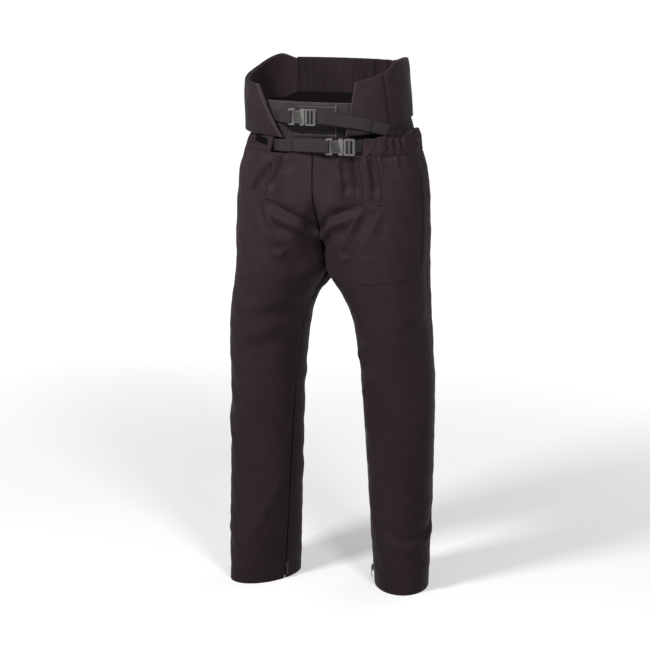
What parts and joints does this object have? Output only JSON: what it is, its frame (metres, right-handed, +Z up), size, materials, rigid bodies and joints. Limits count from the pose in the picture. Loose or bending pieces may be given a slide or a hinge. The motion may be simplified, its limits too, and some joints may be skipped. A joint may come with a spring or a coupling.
{
  "type": "padded ice-hockey trousers with kidney belt",
  "caption": "Full-length padded ice-hockey trousers with pleated twill legs, inseam leg zips, a high foam kidney belt and buckled front straps.",
  "frame": {"origin": "on the floor under the middle of the garment, between the two hems", "axes": "+Z up from the hems to the kidney belt, front of the trousers towards -Y, wearer's left towards +X"},
  "size_m": [0.4623, 0.2725, 1.1554],
  "materials": {
    "twill": "matt brown-black polyester twill",
    "belt_cover": "matt smooth brown-black cover cloth",
    "black_lining": "matt black nylon",
    "elastic": "ribbed black elastic",
    "foam": "closed-cell foam with a knitted face",
    "webbing": "woven polypropylene webbing",
    "buckle_plastic": "satin acetal",
    "zip": "black nylon coil and painted metal",
    "label": "woven label, left blank"
  },
  "bodies": {
    "trousers": {"front_panel_right": "twill", "front_panel_left": "twill", "back_panel_right": "twill", "back_panel_left": "twill", "pocket_welt_right": "twill", "pocket_welt_left": "twill", "waistband_front_right": "twill", "waistband_front_left": "twill", "waistband_back": "twill", "lumbar_panel": "twill", "kidney_cover_right": "belt_cover", "kidney_cover_left": "belt_cover", "pocket_bag_right": "black_lining", "pocket_bag_left": "black_lining", "kidney_lining_right": "black_lining", "kidney_lining_left": "black_lining", "back_elastic_band": "black_lining", "inner_front_panel": "black_lining", "front_patch": "black_lining", "zip_tape_right": "black_lining", "zip_tape_left": "black_lining", "side_adjuster_right": "elastic", "side_adjuster_left": "elastic", "kidney_foam_right": "foam", "kidney_foam_left": "foam", "hip_pad_right": "foam", "hip_pad_left": "foam", "thigh_pad_right": "foam", "thigh_pad_left": "foam", "tailbone_pad": "foam", "upper_strap_right": "webbing", "upper_strap_left": "webbing", "lower_strap_right": "webbing", "lower_strap_left": "webbing", "upper_socket": "buckle_plastic", "lower_socket": "buckle_plastic", "zip_chain_right": "zip", "zip_chain_left": "zip", "label": "label"},
    "upper_plug": {"upper_plug": "buckle_plastic", "upper_strap_tail": "webbing"},
    "upper_prong_top": {"upper_prong_top": "buckle_plastic"},
    "upper_prong_bottom": {"upper_prong_bottom": "buckle_plastic"},
    "lower_plug": {"lower_plug": "buckle_plastic"},
    "lower_prong_top": {"lower_prong_top": "buckle_plastic"},
    "lower_prong_bottom": {"lower_prong_bottom": "buckle_plastic"},
    "zip_slider_right": {"zip_slider_right": "zip"},
    "zip_pull_right": {"zip_pull_right": "zip"},
    "zip_slider_left": {"zip_slider_left": "zip"},
    "zip_pull_left": {"zip_pull_left": "zip"}
  },
  "joints": [
    {"name": "upper_buckle_release", "type": "slide", "parent": "trousers", "child": "upper_plug", "axis": [0.9976, -0.0698, 0], "range_m": [0, 0.03], "deforming": ["upper_strap_left"]},
    {"name": "upper_prong_top_squeeze", "type": "hinge", "parent": "upper_plug", "child": "upper_prong_top", "pos_m": [-0.01442, -0.12053, 1.0451], "axis": [-0.0698, -0.9976, 0], "range_deg": [0, 7], "stiffness_Nm_per_rad": 0.05},
    {"name": "upper_prong_bottom_squeeze", "type": "hinge", "parent": "upper_plug", "child": "upper_prong_bottom", "pos_m": [-0.01442, -0.12053, 1.0269], "axis": [0.0698, 0.9976, 0], "range_deg": [0, 7], "stiffness_Nm_per_rad": 0.05},
    {"name": "lower_buckle_release", "type": "slide", "parent": "trousers", "child": "lower_plug", "axis": [0.9877, 0.1564, 0], "range_m": [0, 0.03], "deforming": ["lower_strap_left"]},
    {"name": "lower_prong_top_squeeze", "type": "hinge", "parent": "lower_plug", "child": "lower_prong_top", "pos_m": [0.07051, -0.11731, 0.9861], "axis": [0.1564, -0.9877, 0], "range_deg": [0, 7], "stiffness_Nm_per_rad": 0.05},
    {"name": "lower_prong_bottom_squeeze", "type": "hinge", "parent": "lower_plug", "child": "lower_prong_bottom", "pos_m": [0.07051, -0.11731, 0.9679], "axis": [-0.1564, 0.9877, 0], "range_deg": [0, 7], "stiffness_Nm_per_rad": 0.05},
    {"name": "leg_zip_right", "type": "slide", "parent": "trousers", "child": "zip_slider_right", "axis": [0.0366, 0.0664, 0.9971], "range_m": [0, 0.385]},
    {"name": "zip_pull_right_swing", "type": "hinge", "parent": "zip_slider_right", "child": "zip_pull_right", "pos_m": [-0.07946, -0.07399, 0.033], "axis": [-0.342, -0.9397, 0], "range_deg": [0, 150]},
    {"name": "leg_zip_left", "type": "slide", "parent": "trousers", "child": "zip_slider_left", "axis": [-0.068, -0.012, 0.9976], "range_m": [0, 0.385]},
    {"name": "zip_pull_left_swing", "type": "hinge", "parent": "zip_slider_left", "child": "zip_pull_left", "pos_m": [0.10042, -0.02158, 0.033], "axis": [-0.342, 0.9397, 0], "range_deg": [0, 150]}
  ],
  "couplings": [
    {"joint": "upper_prong_bottom_squeeze", "follows": "upper_prong_top_squeeze", "ratio": 1},
    {"joint": "lower_prong_bottom_squeeze", "follows": "lower_prong_top_squeeze", "ratio": 1}
  ]
}
